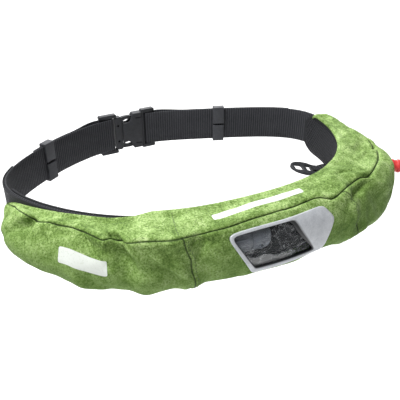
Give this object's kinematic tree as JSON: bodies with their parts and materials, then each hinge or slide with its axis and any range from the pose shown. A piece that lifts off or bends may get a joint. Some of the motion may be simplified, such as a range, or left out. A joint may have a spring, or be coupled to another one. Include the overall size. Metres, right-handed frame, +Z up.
{
  "type": "inflatable belt pack",
  "caption": "Waist belt life jacket: a curved pouch of mottled green cloth with a clear window, on a black webbing belt with a side-release buckle, its bladder folded inside.",
  "frame": {"origin": "middle of the waist that the belt goes round, at the middle of the webbing's width", "axes": "+Z up as worn, +X towards the right as seen from in front, -Y towards the front, where the pouch is"},
  "size_m": [0.3981, 0.2813, 0.0781],
  "materials": {
    "printed_cloth": "matte woven, mottled green",
    "black_webbing": "ribbed",
    "black_cloth": "plain weave",
    "black_mesh": "spacer mesh",
    "black_bladder": "coated, satin",
    "black_plastic": "fine texture",
    "grey_inflator": "satin",
    "grey_frame": "satin",
    "clear_film": "clear, glossy",
    "red_knob": "satin"
  },
  "bodies": {
    "root": {"cover_top": "printed_cloth", "cover_front_left": "printed_cloth", "cover_front_middle": "printed_cloth", "cover_front_right": "printed_cloth", "window_frame": "grey_frame", "window_pane": "clear_film", "back_panel": "black_cloth", "mesh_pad": "black_mesh", "bladder": "black_bladder", "inflator": "grey_inflator", "pull_knob": "red_knob", "buckle_plug": "black_plastic", "buckle_socket": "black_plastic", "belt_webbing": "black_webbing", "keeper_left": "black_plastic", "keeper_right": "black_plastic", "accessory_ring": "black_plastic", "ring_tab": "black_webbing"}
  },
  "joints": []
}
